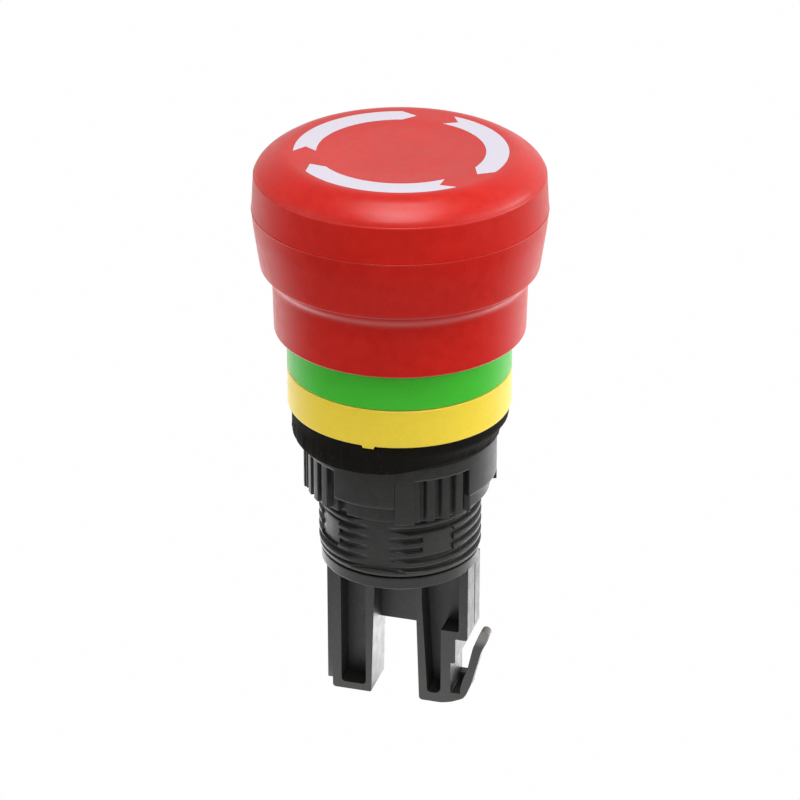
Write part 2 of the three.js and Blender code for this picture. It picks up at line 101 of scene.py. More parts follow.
def fillet(corners, steps=6, support=0.05, closed=True):
    """Rounds an outline of (x, y, radius); support points keep the flats flat."""
    out = []
    last = len(corners) - 1
    for i, corner in enumerate(corners):
        point = np.array(corner[:2], float)
        wanted = corner[2] if len(corner) > 2 else 0.0
        if (not closed and i in (0, last)) or wanted <= 0:
            out.append(tuple(point))
            continue
        before = np.array(corners[i - 1][:2], float) - point
        after = np.array(corners[(i + 1) % (last + 1)][:2], float) - point
        len_before, len_after = np.linalg.norm(before), np.linalg.norm(after)
        before, after = before / len_before, after / len_after
        opening = math.acos(float(np.clip(np.dot(before, after), -1, 1)))
        if opening > math.pi - 0.02:        # nearly straight
            out.append(tuple(point))
            continue
        slope = math.tan(opening / 2)
        trim = min(wanted / slope, 0.45 * len_before, 0.45 * len_after)
        radius = trim * slope
        bisector = (before + after) / np.linalg.norm(before + after)
        centre = point + bisector * (radius / math.sin(opening / 2))
        start, end = point + before * trim, point + after * trim
        angle0 = math.atan2(*(start - centre)[::-1])
        angle1 = math.atan2(*(end - centre)[::-1])
        sweep = (angle1 - angle0 + math.pi) % TAU - math.pi
        out.append(tuple(start + before * min(support, 0.25 * (len_before - trim))))
        for k in range(steps + 1):
            angle = angle0 + sweep * k / steps
            out.append((centre[0] + radius * math.cos(angle),
                        centre[1] + radius * math.sin(angle)))
        out.append(tuple(end + after * min(support, 0.25 * (len_after - trim))))
    return out


def between(first, second, knot0, knot1, knot):
    span = knot1 - knot0
    return (knot1 - knot) / span * first + (knot - knot0) / span * second


def spline(points, per):
    """Centripetal Catmull-Rom through the points, in per steps from one to the next."""
    pts = [np.array(p, float) for p in points]
    pts = [2 * pts[0] - pts[1]] + pts + [2 * pts[-1] - pts[-2]]
    out = []
    for i in range(1, len(pts) - 2):
        quad = pts[i - 1:i + 3]
        knots = [0.0]
        for first, second in zip(quad, quad[1:]):
            knots.append(knots[-1] + np.linalg.norm(second - first) ** 0.5)
        for k in range(per):
            knot = knots[1] + (knots[2] - knots[1]) * k / per
            level = quad
            # three linear steps, then two, each over its own pair of knots
            level = [between(level[j], level[j + 1], knots[j], knots[j + 1], knot)
                     for j in range(3)]
            level = [between(level[j], level[j + 1], knots[j], knots[j + 2], knot)
                     for j in range(2)]
            out.append(tuple(between(*level, knots[1], knots[2], knot)))
    out.append(tuple(points[-1]))
    return out


def loft(name, angles, profile):
    """Body round Z whose closed outline (radius, height) may change with the angle."""
    loops = [np.asarray(profile(angle), float) for angle in angles]
    size = len(loops[0])
    assert all(len(loop) == size for loop in loops), name
    verts = []
    for angle, loop in zip(angles, loops):
        cos, sin = math.cos(angle), math.sin(angle)
        verts += [(radius * cos, radius * sin, z) for radius, z in loop]
    faces = []
    for j in range(len(angles)):
        here, there = j * size, ((j + 1) % len(angles)) * size
        for i in range(size):
            k = (i + 1) % size
            faces.append((here + i, there + i, there + k, here + k))
    return new_mesh(name, verts, faces)


def lathe(name, outline, seg):
    """Turned body; an outline from axis to axis is capped by single points."""
    if outline[0][0] > 1e-6:
        return loft(name, [TAU * j / seg for j in range(seg)], lambda angle: outline)
    verts = [(0, 0, outline[0][1])]
    body = outline[1:-1]
    size = len(body)
    for j in range(seg):
        cos, sin = math.cos(TAU * j / seg), math.sin(TAU * j / seg)
        verts += [(radius * cos, radius * sin, z) for radius, z in body]
    verts.append((0, 0, outline[-1][1]))
    last = len(verts) - 1
    faces = []
    for j in range(seg):
        here, there = 1 + j * size, 1 + ((j + 1) % seg) * size
        faces.append((0, here, there))
        for i in range(size - 1):
            faces.append((here + i, here + i + 1, there + i + 1, there + i))
        faces.append((here + size - 1, last, there + size - 1))
    return new_mesh(name, verts, faces)


def prism(name, outline, low, high, axis="Y"):
    """Plate between two levels of Y (outline in X and Z) or of Z (outline in X and Y)."""
    size = len(outline)
    if axis == "Y":
        verts = [(x, y, z) for y in (low, high) for x, z in outline]
    else:
        verts = [(x, y, z) for z in (low, high) for x, y in outline]
    faces = [tuple(range(size)), tuple(range(2 * size - 1, size - 1, -1))]
    faces += [(i, (i + 1) % size, size + (i + 1) % size, size + i) for i in range(size)]
    return new_mesh(name, verts, faces, smooth=False)


def bake(obj):
    """Applies the modifiers of an object."""
    graph = bpy.context.evaluated_depsgraph_get()
    mesh = bpy.data.meshes.new_from_object(obj.evaluated_get(graph))
    obj.modifiers.clear()
    old = obj.data
    obj.data = mesh
    bpy.data.meshes.remove(old)


def boolean(base, operation, tool):
    mod = base.modifiers.new("boolean", "BOOLEAN")
    mod.operation = operation
    mod.solver = "EXACT"
    mod.object = tool
    bake(base)
    bpy.data.objects.remove(tool)


def soften(obj, width):
    """Cleans a cut body and rounds its edges."""
    edit = bmesh.new()
    edit.from_mesh(obj.data)
    bmesh.ops.remove_doubles(edit, verts=edit.verts, dist=2e-6)
    bmesh.ops.dissolve_limit(edit, angle_limit=math.radians(0.6), verts=edit.verts,
                             edges=edit.edges)
    edit.to_mesh(obj.data)
    edit.free()
    obj.data.shade_smooth()
    bevel = obj.modifiers.new("bevel", "BEVEL")
    bevel.width = width * MM
    bevel.segments = 3
    bevel.limit_method = "ANGLE"
    bevel.angle_limit = math.radians(32)
    bevel.miter_outer = "MITER_ARC"
    bevel.use_clamp_overlap = True
    normals = obj.modifiers.new("normals", "WEIGHTED_NORMAL")
    normals.keep_sharp = True
    normals.weight = 80
    bake(obj)


# --------------------------------------------- steps and stations for lofts
def smooth01(x):
    x = np.clip(x, 0.0, 1.0)
    return x * x * (3 - 2 * x)


def rise(value, at, width):
    """0 below at, 1 above it, with a smooth step of the given width."""
    return smooth01((value - at) / width + 0.5)


def fall(value, at, width):
    return smooth01((at - value) / width + 0.5)


def band(value, low, high, width):
    """1 between low and high, 0 outside."""
    return rise(value, low, width) * fall(value, high, width)


def azimuth(angle):
    """Degrees from the front (-Y) towards +X, in -180..180."""
    return (math.degrees(angle) + 90.0 + 180.0) % 360.0 - 180.0


def thinned(stations, gap):
    """Drops the stations that follow the last kept one too closely."""
    keep = [stations[0]]
    for station in stations[1:]:
        if station - keep[-1] > gap:
            keep.append(station)
    return keep


def graded(edges, step, offsets=(0.08, 0.2, 0.4, 0.7)):
    """Angles round the axis every step degrees, denser at the given azimuths."""
    stations = set(np.round(np.arange(-180, 180, step), 3))
    for edge in edges:
        stations.add(round(edge, 3))
        for offset in offsets:
            stations.add(round(edge - offset, 3))
            stations.add(round(edge + offset, 3))
    stations = sorted({(a + 180) % 360 - 180 for a in stations})
    return [math.radians(a - 90) for a in thinned(stations, 0.05)]


def rows(low, high, step, edges):
    """Heights every step, denser at the given edges."""
    stations = set(np.round(np.arange(low, high + step / 2, step), 4))
    for edge in edges:
        for offset in (-0.06, -0.03, 0.0, 0.03, 0.06):
            stations.add(round(edge + offset, 4))
    return np.array(thinned(sorted(v for v in stations if low <= v <= high), 0.012))


# ----------------------------------------------------------------- materials
class Graph:
    """Empties the node tree of a material or world and fills it again."""

    def __init__(self, owner):
        owner.use_nodes = True
        self.tree = owner.node_tree
        self.tree.nodes.clear()

    def node(self, kind, inputs=None, **settings):
        """New node; an input is either a value or the socket linked to it."""
        node = self.tree.nodes.new("ShaderNode" + kind)
        for key, value in settings.items():
            setattr(node, key, value)
        for key, value in (inputs or {}).items():
            if isinstance(value, bpy.types.NodeSocket):
                self.tree.links.new(value, node.inputs[key])
            else:
                node.inputs[key].default_value = value
        return node

    def math(self, operation, *values):
        return self.node("Math", dict(enumerate(values)), operation=operation).outputs[0]

    def dot(self, vector, axis):
        node = self.node("VectorMath", {0: vector, 1: tuple(axis)}, operation="DOT_PRODUCT")
        return node.outputs["Value"]

    def ramp(self, value, start, end, low=0.0, high=1.0, kind="SMOOTHSTEP"):
        return self.node("MapRange", {"Value": value, "From Min": start, "From Max": end,
                                      "To Min": low, "To Max": high},
                         interpolation_type=kind).outputs[0]

    def mix_colour(self, factor, first, second):
        return self.node("Mix", {0: factor, 6: first, 7: second}, data_type="RGBA").outputs[2]

    def split_by_ray(self, for_object, for_camera, output):
        """One shader for what lights the object, another for what the camera sees."""
        is_camera = self.node("LightPath").outputs["Is Camera Ray"]
        mix = self.node("MixShader", {0: is_camera, 1: for_object, 2: for_camera})
        self.node(output, {0: mix.outputs[0]})


def linear(srgb):
    channels = [v / 255.0 for v in srgb]
    return [v / 12.92 if v <= 0.04045 else ((v + 0.055) / 1.055) ** 2.4 for v in channels]


DUST = (0.5, 0.48, 0.45, 1)
# painted highlight: paler colour standing in for light on the upper end of the arm
TIP_HIGHLIGHT_COLOUR = (0.36, 0.34, 0.31, 1)
ROUGH_SPREAD = 0.06


def moulding(name, srgb, rough, grain, bump, depth, var, spec=0.5, metallic=0.0,
             speck=0.0, tip_highlight=None):
    """Grained surface.

    grain is the noise scale of the bump, depth its height in mm, var the relative
    drift of the colour, speck the strength of the dust, and the last argument is
    (height where a painted highlight starts, height where it ends, amount).
    """
    mat = bpy.data.materials.new(name)
    graph = Graph(mat)
    coords = graph.node("TexCoord").outputs["Object"]

    def noise(scale, detail, **more):
        inputs = {"Vector": coords, "Scale": scale, "Detail": detail, **more}
        return graph.node("TexNoise", inputs).outputs["Fac"]

    fine = noise(grain, 3, Roughness=0.6)
    mid = noise(700, 4)
    # colour: slow drift of the moulding plus a little of the grain
    drift = graph.math("MULTIPLY", noise(3400, 2), 0.4)
    drift = graph.math("MULTIPLY_ADD", noise(95, 3), 0.3, drift)
    drift = graph.math("MULTIPLY_ADD", mid, 0.3, drift)
    base = linear(srgb)
    colour = graph.mix_colour(graph.ramp(drift, 0.3, 0.7, kind="LINEAR"),
                              (*[v * (1 - var) for v in base], 1),
                              (*[v * (1 + var) for v in base], 1))
    if speck > 0:
        # tiny pale dust and scuffs
        dust = graph.ramp(noise(2600, 5), 0.66, 0.74, high=speck, kind="LINEAR")
        colour = graph.mix_colour(dust, colour, DUST)
    if tip_highlight:
        # painted highlight: paler towards the upper end, standing in for light on that face
        start, end, amount = tip_highlight
        height = graph.node("SeparateXYZ", {0: coords}).outputs[2]
        tip_lit = graph.ramp(height, (start + LIFT) * MM, (end + LIFT) * MM, high=amount)
        colour = graph.mix_colour(tip_lit, colour, TIP_HIGHLIGHT_COLOUR)
    roughness = graph.ramp(mid, 0.25, 0.75, rough - ROUGH_SPREAD, rough + ROUGH_SPREAD,
                           kind="LINEAR")
    relief = graph.node("Bump", {"Strength": bump, "Distance": depth * MM, "Height": fine})
    surface = graph.node("BsdfPrincipled", {
        "Base Color": colour, "Roughness": roughness, "Normal": relief.outputs[0],
        "Specular IOR Level": spec, "Metallic": metallic})
    graph.node("OutputMaterial", {0: surface.outputs[0]})
    return mat


# shared by the black parts
BLACK_GRAIN = dict(rough=0.42, grain=4200, bump=0.9, depth=0.024, speck=0.05)

M_RED = moulding("red_moulding", (191, 22, 9), rough=0.35, grain=4600, bump=0.45,
                 depth=0.014, var=0.16)
M_WHITE = moulding("pale_inlay", (203, 198, 209), rough=0.5, grain=6000, bump=0.2,
                   depth=0.008, var=0.03)
M_GREEN = moulding("green_moulding", (62, 184, 43), rough=0.36, grain=5200, bump=0.3,
                   depth=0.010, var=0.09)
M_YELLOW = moulding("yellow_moulding", (235, 207, 60), rough=0.38, grain=5200, bump=0.3,
                    depth=0.010, var=0.06)
M_BLACK = moulding("black_moulding", (36, 35, 34), var=0.45, **BLACK_GRAIN)
# the arm's upper end gets a painted highlight, a paler colour standing in for light on its
# face
M_ARM = moulding("arm_moulding", (38, 37, 36), var=0.45, tip_highlight=(-31.2, -29.6, 0.36),
                 **BLACK_GRAIN)
M_CARRIER = moulding("carrier_moulding", (38, 37, 36), var=0.4, **BLACK_GRAIN)
M_RUBBER = moulding("gasket_rubber", (17, 14, 10), rough=0.8, grain=2600, bump=1.0,
                    depth=0.05, var=0.7, spec=0.12, speck=0.05)
M_NATURAL = moulding("natural_moulding", (214, 208, 192), rough=0.45, grain=5200, bump=0.2,
                     depth=0.010, var=0.04)
M_STEEL = moulding("spring_wire", (190, 190, 192), rough=0.3, grain=9000, bump=0.1,
                   depth=0.004, var=0.08, metallic=1.0)


def paint(obj, mat):
    obj.data.materials.clear()
    obj.data.materials.append(mat)


def finish_piece(obj, mat, body, node):
    paint(obj, mat)
    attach(obj, body)
    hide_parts(node)


# ---------------------------------------------------------------------- head
Z_TOP = 39.9
# outlines are (radius, height[, corner radius])
DISH = [(0.0, 39.77), (4.0, 39.77), (8.0, 39.79), (9.6, 39.84), (10.8, 39.89), (11.6, 39.9)]
# flat rim round the dish, then the shoulder rolling down to a crease
CROWN = [
    (13.6, 39.9), (14.46, 39.9), (14.85, 39.88), (15.25, 39.81), (15.7, 39.68),
    (16.35, 39.40), (17.0, 39.02), (17.53, 38.68), (18.05, 38.28), (18.4, 37.93),
    (18.68, 37.6), (18.88, 37.27), (18.97, 37.05),
]
# a fine bead where the crown meets the wall, the wall down to the seam, the inside
SHELL_WALL = [
    (18.97, 37.05), (19.03, 36.99, 0.08), (19.10, 36.84, 0.12), (19.41, 32.2, 0.05),
    (17.75, 32.2, 0.1), (17.6, 35.6, 1.0), (16.9, 37.0, 1.0), (14.6, 38.0, 0.8),
    (5.3, 38.0, 0.5), (5.2, 26.0, 0.2), (0.0, 26.0),
]
# outside from the seam down, then the bore back up
SKIRT = [
    (19.48, 32.19, 0.07), (19.42, 32.0, 0.1), (19.24, 30.0, 30), (18.50, 24.75, 0.5),
    (18.40, 24.20, 0.24), (17.62, 24.13, 0.1), (17.50, 23.90), (17.46, 23.64),
    (17.40, 23.40), (17.30, 23.18), (17.19, 22.98), (17.08, 22.79), (16.99, 22.58),
    (16.93, 22.36), (16.89, 22.12), (16.87, 21.75), (16.72, 15.05, 0.30),
    (15.3, 15.05, 0.25), (15.3, 23.4, 0.3), (16.3, 25.2, 0.3), (16.3, 33.7, 0.1),
    (17.5, 33.7, 0.1), (17.62, 32.1, 0.05),
]

shell_outline = (spline(DISH, per=4) + spline(CROWN, per=5)
                 + fillet(SHELL_WALL, steps=5, closed=False)[1:])
shell = lathe("head_shell_fine", shell_outline, seg=240)
finish_piece(shell, M_RED, "knob", "head_shell")

skirt = lathe("head_skirt_fine", fillet(SKIRT), seg=240)
finish_piece(skirt, M_RED, "knob", "head_skirt")

ARROW_CENTRE = (0.24, -0.35)
ARROW_OUTER, ARROW_INNER = 13.97, 11.0
ARROW_SPAN = (105.8, 196.4)             # degrees from +X
ARROW_TIP, ARROW_NOTCH = 97.2, 189.4    # on the middle radius
ARROW_STEPS = 40
ARROW_SUNK, ARROW_PROUD = 0.2, 0.02


def arrow(name, turn):
    """Curved inlay, pointed at one end and notched at the other."""
    middle = (ARROW_OUTER + ARROW_INNER) / 2
    start, end = ARROW_SPAN
    arc = [start + (end - start) * i / ARROW_STEPS for i in range(ARROW_STEPS + 1)]
    polar = [(ARROW_OUTER, deg) for deg in arc] + [(middle, ARROW_NOTCH)]
    polar += [(ARROW_INNER, deg) for deg in reversed(arc)] + [(middle, ARROW_TIP)]
    outline = [(ARROW_CENTRE[0] + radius * math.cos(math.radians(deg + turn)),
                ARROW_CENTRE[1] + radius * math.sin(math.radians(deg + turn)))
               for radius, deg in polar]
    return prism(name, outline, Z_TOP - ARROW_SUNK, Z_TOP + ARROW_PROUD, axis="Z")


for k in range(3):
    inlay = arrow(f"arrow_fine_{k + 1}", -120 * k)
    finish_piece(inlay, M_WHITE, "knob", f"arrow_inlay_{k + 1}")

# --------------------------------------------------------------- fixed rings
RING_BORE, RING_RADIUS = 13.56, 15.0
RING_PLAY = (-0.08, -0.02)      # both rings sit loose on the barrel


def shift_ring(obj):
    for vert in obj.data.vertices:
        vert.co.x += RING_PLAY[0] * MM
        vert.co.y += RING_PLAY[1] * MM


green = lathe("indicator_ring_fine", fillet([
    (RING_BORE, 9.6, 0.1), (RING_RADIUS, 9.6, 0.16), (RING_RADIUS, 16.3, 0.35),
    (RING_BORE, 16.3, 0.1),
]), seg=240)
shift_ring(green)
finish_piece(green, M_GREEN, "base", "indicator_ring")

COLLAR_TAB = (-2.6, 3.6)        # azimuths of the tab at the front of the lower rim
COLLAR_Z = (4.13, 9.5)
TAB_DROP = 0.36


def collar_profile(angle):
    low = COLLAR_Z[0] - TAB_DROP * band(azimuth(angle), *COLLAR_TAB, 0.6)
    return fillet([(RING_BORE, low, 0.1), (RING_RADIUS, low, 0.28),
                   (RING_RADIUS, COLLAR_Z[1], 0.14), (RING_BORE, COLLAR_Z[1], 0.1)])


collar = loft("collar_ring_fine", graded(COLLAR_TAB, step=1.5), collar_profile)
shift_ring(collar)
finish_piece(collar, M_YELLOW, "base", "collar_ring")

# -------------------------------------------------------------------- gasket
phases = np.random.default_rng(7).uniform(0, TAU, 12)
# ragged edge: (waves per turn, height)
RAGGED = [(9, 0.05), (23, 0.04), (47, 0.03), (83, 0.02)]
# lower rim round the axis: azimuth, radius, height
LIP = [
    (-180, 13.45, 0.0), (-125, 13.6, 0.3), (-90, 14.1, 0.5), (-66, 14.6, 0.45),
    (-50, 14.68, 0.1), (-36, 14.62, -0.25), (-20, 14.5, -0.38), (0, 14.35, -0.3),
    (16, 14.2, 0.0), (32, 13.85, 0.55), (50, 13.55, 0.6), (75, 13.5, 0.3),
    (110, 13.45, 0.0), (180, 13.45, 0.0),
]
LIP_AZIMUTHS, LIP_RADII, LIP_HEIGHTS = zip(*LIP)
GASKET_BORE = 11.25
GASKET_TOP = 4.1
GASKET_NOTCH = (-4.0, 4.6)      # azimuths of the notch in the upper rim
NOTCH_DEPTH = 0.42


def gasket_profile(angle):
    turn = azimuth(angle)
    ragged = sum(height * math.sin(waves * angle + phase)
                 for (waves, height), phase in zip(RAGGED, phases))
    top = GASKET_TOP - NOTCH_DEPTH * band(turn, *GASKET_NOTCH, 0.5)
    lip = np.interp(turn, LIP_AZIMUTHS, LIP_RADII) + ragged
    z = np.interp(turn, LIP_AZIMUTHS, LIP_HEIGHTS) + 0.9 * ragged
    return fillet([
        (GASKET_BORE, 0.02), (13.1, 0.02), (13.14, min(0.0, z) - 0.02),
        (lip - 0.12, z - 0.03), (lip - 0.05, z + 0.01), (lip - 0.01, z + 0.09),
        (lip, z + 0.25), (lip + 0.08, z + 0.6), (0.5 * (lip + 14.6), 2.0),
        (14.56, 2.6), (14.62, 3.0), (14.66, top, 0.12), (GASKET_BORE, top, 0.1),
    ], steps=5)


gasket = loft("panel_gasket_fine", graded(GASKET_NOTCH, step=0.75), gasket_profile)
finish_piece(gasket, M_RUBBER, "base", "panel_gasket")

# ---------------------------------------------------------- threaded housing
PITCH = 1.5
THREAD_ROOT, THREAD_HEIGHT = 10.3, 0.7
Z_THREAD = -16.85               # lower end of the flats, a crest starts here at +X
FLAT_DISTANCE = 10.18           # flats at front and back, from the axis
FLAT_HALF = 22.2                # degrees
WINDOW_HALF = 12.2              # degrees; four windows on the diagonals
WINDOW_Z = (-14.55, -10.85)
WINDOW_FLOOR = 9.06
# (radius, height): above and below the threaded barrel
HOUSING_HEAD = [
    (9.0, 9.0), (7.0, 9.0), (7.0, 16.5), (4.3, 16.5), (4.3, 18.35), (5.6, 18.35),
    (5.6, 19.9), (5.7, 20.0), (13.2, 20.0), (13.35, 19.95), (13.4, 19.8), (13.4, 4.15),
    (10.95, 4.15), (10.95, 0.3), (10.6, 0.0),
]
HOUSING_FOOT = [(9.1, -17.4), (9.0, -17.3)]
HOUSING_Z = rows(-17.4, -0.05, step=0.085, edges=[Z_THREAD, *WINDOW_Z])[::-1]


def barrel_radius(angle, z):
    crest = Z_THREAD + PITCH * (angle % TAU) / TAU
    offset = (z - crest + PITCH / 2) % PITCH - PITCH / 2
    fade = smooth01((z + 17.05) / 0.35)         # the thread runs out at the lower end
    radius = THREAD_ROOT + THREAD_HEIGHT * smooth01((0.56 - np.abs(offset)) / 0.36) * fade
    # full collar at the lower end, with a chamfer
    radius = np.maximum(radius, THREAD_ROOT + 0.62 * smooth01((-16.45 - z) / 0.2))
    radius = radius - 0.3 * smooth01((-17.15 - z) / 0.25)
    facing = abs(math.sin(angle))
    if facing > 0.9:
        on_flat = (z > Z_THREAD) & (z < -0.3)
        radius = np.where(on_flat, np.minimum(radius, FLAT_DISTANCE / facing), radius)
    turn = math.degrees(angle) % 90.0 - 45.0
    window = band(turn, -WINDOW_HALF, WINDOW_HALF, 0.35) * band(z, *WINDOW_Z, 0.08)
    return (radius + 0.06 * fade) * (1 - window) + WINDOW_FLOOR * window


def housing_profile(angle):
    barrel = list(zip(barrel_radius(angle, HOUSING_Z), HOUSING_Z))
    return HOUSING_HEAD + barrel + HOUSING_FOOT


housing_edges = [45 + 90 * k + side * WINDOW_HALF for k in range(4) for side in (-1, 1)]
housing_edges += [middle + side * FLAT_HALF for middle in (0, 180) for side in (-1, 1)]
housing = loft("threaded_housing_fine", graded(housing_edges, 2.25, (0.09, 0.2, 0.5)),
               housing_profile)
finish_piece(housing, M_BLACK, "base", "threaded_housing")

# ------------------------------------------------------------- latch carrier
LUG_HALF = 12.4                 # degrees
LUG_ROUND = 0.14                # edge rounding
LUG_INNER, LUG_OUTER = 9.12, 10.7
LUG_Z, LUG_HALF_HEIGHT = -12.69, 1.89
LUG_ROUND_DEG = math.degrees(LUG_ROUND / 10.5)
# stations crowd towards the rounded edges
LUG_SIDE = [11.9, 12.2, 12.35, LUG_HALF]
LUG_TURNS = [-a for a in reversed(LUG_SIDE)] + list(np.linspace(-11.0, 11.0, 14)) + LUG_SIDE
LUG_HEIGHTS = ([-14.58, -14.56, -14.51, -14.42] + list(np.linspace(-14.1, -11.3, 8))
               + [-10.96, -10.87, -10.82, -10.80])


def lug_radius(turn, z):
    over_turn = max(0.0, abs(turn) - (LUG_HALF - LUG_ROUND_DEG)) / LUG_ROUND_DEG
    over_z = max(0.0, abs(z - LUG_Z) - (LUG_HALF_HEIGHT - LUG_ROUND)) / LUG_ROUND
    over = min(1.0, math.hypot(over_turn, over_z))
    return LUG_OUTER - LUG_ROUND * (1 - math.sqrt(1 - over * over))


def lug(name, centre):
    """One lug of the carrier, centred at an angle in degrees from +X."""
    def grid(radius_at):
        return [(radius_at(turn, z) * math.cos(math.radians(centre + turn)),
                 radius_at(turn, z) * math.sin(math.radians(centre + turn)), z)
                for turn in LUG_TURNS for z in LUG_HEIGHTS]

    verts = grid(lug_radius)
    inner = len(verts)
    verts += grid(lambda turn, z: LUG_INNER)
    columns, high = len(LUG_TURNS), len(LUG_HEIGHTS)
    faces = []
    for i in range(columns - 1):
        for j in range(high - 1):
            k = i * high + j
            faces.append((k, k + high, k + high + 1, k + 1))
            k += inner
            faces.append((k, k + 1, k + high + 1, k + high))
    rim = [i * high for i in range(columns)]
    rim += [(columns - 1) * high + j for j in range(1, high)]
    rim += [i * high + high - 1 for i in range(columns - 2, -1, -1)]
    rim += list(range(high - 2, 0, -1))
    for i, j in zip(rim, rim[1:] + rim[:1]):
        faces.append((i, j, j + inner, i + inner))
    return new_mesh(name, verts, faces)


carrier = lathe("latch_carrier_fine", fillet([
    (7.7, -16.9, 0.1), (8.85, -16.9, 0.1), (8.85, -7.6, 0.1), (6.3, -7.6, 0.1),
    (6.3, -10.5, 0.1), (7.7, -10.7, 0.1),
], steps=3), seg=96)
lugs = [lug(f"lug{k}", 45 + 90 * k) for k in range(4)]
joined = bmesh.new()
for part in [carrier] + lugs:
    joined.from_mesh(part.data)
joined.to_mesh(carrier.data)
joined.free()
for part in lugs:
    bpy.data.objects.remove(part)
carrier.data.shade_smooth()
finish_piece(carrier, M_CARRIER, "base", "latch_carrier")

# ------------------------------------------------------------------ ring nut
# the pattern repeats every quarter turn; azimuths in degrees within a quarter
RIBS = [(22.2, 28.6), (31.9, 37.8), (41.6, 47.6), (51.2, 57.4)]
POST = (-29.0, -27.6)
NOTCH = (-26.4, -19.5)
WALL_END = 13.4
BLOCK_END = 25.0
NUT_OUTER, NUT_CORE, NUT_DEEP = 13.07, 12.17, 11.45
Z_UNDERCUT = -7.7
nut_edges = [(edge + 90 * k + 180) % 360 - 180
             for edge in [*POST, -26.0, NOTCH[1], WALL_END, BLOCK_END, 64.0, *sum(RIBS, ())]
             for k in range(4)]
NUT_Z = rows(-8.3, -0.04, step=0.35, edges=[-1.9, -5.95, -6.02, Z_UNDERCUT, -8.12, -8.2])
NUT_RIM_Z = [-8.295, -8.28, -8.25, -0.045, -0.06, -0.09]
NUT_Z = np.array(sorted({*NUT_Z, *NUT_RIM_Z}))[::-1]


def rim_round(inset, reach):
    """Quarter-round inset as reach goes from 0 to 1."""
    return inset * (1 - np.sqrt(1 - reach.clip(0, 1) ** 2))


def nut_radius(full_turn, z):
    turn = (full_turn + 29.5) % 90.0 - 29.5
    edge = 0.5
    right = 60.0 < full_turn < 110.0        # the quarter facing +X differs
    # wall: outer radius above, recessed below
    wall = band(turn, POST[0] if right else -25.7, WALL_END, edge)
    recess = NUT_DEEP if right else 12.1
    wall_radius = recess + (NUT_OUTER - recess) * rise(z, -5.95, 0.14)
    block = band(turn, 13.2, BLOCK_END, edge)
    # the foot of the block beside the right-hand wall is cut away
    under = low = 0.0
    if 103.0 < full_turn < 116.0:
        under = (NUT_CORE - NUT_DEEP) * fall(z, Z_UNDERCUT, 0.08)
    low = rise(z, Z_UNDERCUT, 0.08) if 95.0 < full_turn < 120.0 else 1.0
    radius = (NUT_CORE - under) * (1 - wall) + wall * wall_radius
    radius = np.maximum(radius, (NUT_CORE + (NUT_OUTER - NUT_CORE) * block) * low)
    for start, end in RIBS:
        rib = rise(turn, start, 1.7) * fall(turn, end, 1.1) * rise(z, -8.12, 0.06)
        radius = np.maximum(radius, NUT_CORE + 0.66 * rib)
    if right:
        # the wall stands on a thin post here
        radius = np.maximum(radius, NUT_OUTER * band(turn, *POST, 0.4))
    else:
        # deeper notch under the first edge of the wall
        notch = band(turn, *NOTCH, edge) * fall(z, -5.99, 0.1)
        radius = radius * (1 - notch) + NUT_DEEP * notch
    # plain band at the top
    top = rise(z, -1.9, 0.14)
    radius = radius * (1 - top) + NUT_OUTER * top
    # rounded rims
    radius = radius - rim_round(0.06, (z + 0.11) / 0.07)
    return radius - rim_round(0.12, (-8.17 - z) / 0.13)


def nut_profile(angle):
    # the rim rises round the washer
    seat = [(11.35, -0.66), (12.72, -0.66), (12.74, -0.04)]
    bore = [(11.42, -8.3), (11.3, -8.28), (11.15, -8.1), (11.12, -7.9), (11.12, -1.0),
            (11.2, -0.8)]
    return seat + list(zip(nut_radius(azimuth(angle), NUT_Z), NUT_Z)) + bore


nut_angles = graded(nut_edges, 2.0, (0.06, 0.13, 0.2, 0.26, 0.34, 0.5, 0.7, 0.9))
nut = loft("ring_nut_fine", nut_angles, nut_profile)
finish_piece(nut, M_BLACK, "nut_body", "ring_nut")

WASHER_BORE, WASHER_RADIUS = 11.18, 12.62


def washer_profile(angle):
    teeth = 0.03 * (0.5 + 0.5 * math.sin(60 * angle))
    rim = WASHER_RADIUS + teeth + 0.03 * math.sin(17 * angle + phases[5])
    return fillet([(WASHER_BORE, -0.64, 0.05), (rim, -0.64, 0.03), (rim, -0.04, 0.05),
                   (WASHER_BORE, -0.05, 0.05)], steps=3, support=0.03)


washer = loft("lock_washer_fine", [TAU * j / 480 for j in range(480)], washer_profile)
finish_piece(washer, M_BLACK, "washer_body", "lock_washer")

# ---------------------------------------------------------- coupling adapter
flange = lathe("adapter_flange_fine", fillet([
    (3.9, -17.65, 0.1), (10.76, -17.65, 0.14), (10.76, -19.25, 0.14), (3.9, -19.25, 0.1),
], steps=5), seg=200)
finish_piece(flange, M_BLACK, "base", "coupling_adapter")

Y_FRONT, Y_BACK = -2.8, 3.3     # faces of the fork
Y_POCKET = 0.6                  # floor of the pockets cut in from the front
Z_ROOT = -19.0
OVERCUT = 1.0                   # pocket cutters reach this far past the fork
